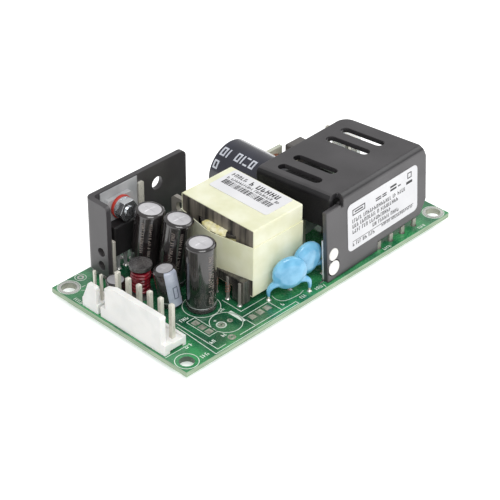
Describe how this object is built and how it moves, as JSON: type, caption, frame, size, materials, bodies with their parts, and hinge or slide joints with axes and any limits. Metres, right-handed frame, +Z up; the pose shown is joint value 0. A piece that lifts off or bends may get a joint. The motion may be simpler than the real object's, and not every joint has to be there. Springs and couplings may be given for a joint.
{
  "type": "switching power supply",
  "caption": "Open-frame switching power supply on a green board, with a transformer, output capacitors, a black cover over the mains half and pin headers at both ends.",
  "frame": {"origin": "centre of the four mounting holes on the board's underside", "axes": "+X towards the mains end with the black cover, +Y towards the edge behind the transformer, +Z up through the component side"},
  "size_m": [0.1016, 0.0508, 0.027],
  "materials": {
    "solder_mask": "green solder mask over glass laminate, satin gloss",
    "solder": "bright solder",
    "header_nylon": "white nylon, slightly satin",
    "tinned_pins": "tin plated, satin",
    "tinned_copper": "tin plated copper",
    "black_anodised": "black anodised sheet aluminium, satin",
    "tinned_steel": "tin plated steel sheet",
    "zinc_steel": "zinc plated steel",
    "washer_plastic": "red moulded plastic",
    "pad_rubber": "grey silicone on glass cloth, matte",
    "epoxy_black": "black moulded epoxy, matte",
    "chip_ceramic": "black and white small chips",
    "disc_coating": "sky blue dipped epoxy, glossy",
    "can_metal": "bare aluminium, satin",
    "bulk_sleeve": "navy black shrink sleeve, glossy",
    "can_sleeve": "black shrink sleeve, glossy",
    "ferrite": "dark grey ferrite, ground",
    "drum_wire": "crimson enamelled wire",
    "thermistor_coating": "dark green coating, matte",
    "fuse_case": "dark brown moulded case",
    "box_plastic": "cream moulded box, matte",
    "choke_bobbin": "pale moulded bobbin",
    "choke_wire": "enamelled copper wire",
    "cream_tape": "cream polyester tape, satin",
    "winding_tape": "yellow polyester tape, glossy",
    "bobbin_phenolic": "black phenolic, satin",
    "label_paper": "white label, matte"
  },
  "bodies": {
    "root": {"auxiliary_header_housing": "header_nylon", "auxiliary_header_pins": "tinned_pins", "boxed_capacitor": "box_plastic", "bridge_rectifier_body": "epoxy_black", "bridge_rectifier_leads": "tinned_pins", "bulk_capacitor_can": "can_metal", "bulk_capacitor_sleeve": "bulk_sleeve", "capacitor_leads": "tinned_pins", "circuit_board": "solder_mask", "clamp_screw": "zinc_steel", "cover_label": "label_paper", "disc_capacitor_leads": "tinned_pins", "drum_inductor_core": "ferrite", "drum_inductor_winding": "drum_wire", "front_disc_capacitor": "disc_coating", "ground_strap": "tinned_steel", "hex_nut": "zinc_steel", "inlet_header_housing": "header_nylon", "inlet_header_pins": "tinned_pins", "inrush_thermistor": "thermistor_coating", "insulating_pad": "pad_rubber", "line_choke_bobbin": "choke_bobbin", "line_choke_windings": "choke_wire", "line_fuse": "fuse_case", "lock_washer": "zinc_steel", "low_capacitor_can": "can_metal", "output_capacitor_a_can": "can_metal", "output_capacitor_a_sleeve": "can_sleeve", "output_capacitor_b_can": "can_metal", "output_capacitor_b_sleeve": "can_sleeve", "output_capacitor_c_can": "can_metal", "output_capacitor_c_sleeve": "can_sleeve", "output_header_housing": "header_nylon", "output_header_pins": "tinned_pins", "output_heatsink": "black_anodised", "output_heatsink_tab": "tinned_steel", "output_rectifier_body": "epoxy_black", "output_rectifier_leadframe": "tinned_copper", "primary_cover": "black_anodised", "primary_cover_tab": "tinned_steel", "primary_part_leads": "tinned_pins", "rear_disc_capacitor": "disc_coating", "shoulder_washer": "washer_plastic", "solder_joints": "solder", "standing_transistor_body": "epoxy_black", "standing_transistor_leadframe": "tinned_copper", "striped_capacitor_can": "can_metal", "striped_capacitor_sleeve": "can_sleeve", "surface_parts": "chip_ceramic", "switching_transistor_body": "epoxy_black", "switching_transistor_leadframe": "tinned_copper", "transformer_belt_tape": "cream_tape", "transformer_bobbin": "bobbin_phenolic", "transformer_core_lower": "ferrite", "transformer_core_tape": "cream_tape", "transformer_core_upper": "ferrite", "transformer_label": "label_paper", "transformer_pins": "tinned_pins", "transformer_winding": "winding_tape"}
  },
  "joints": []
}
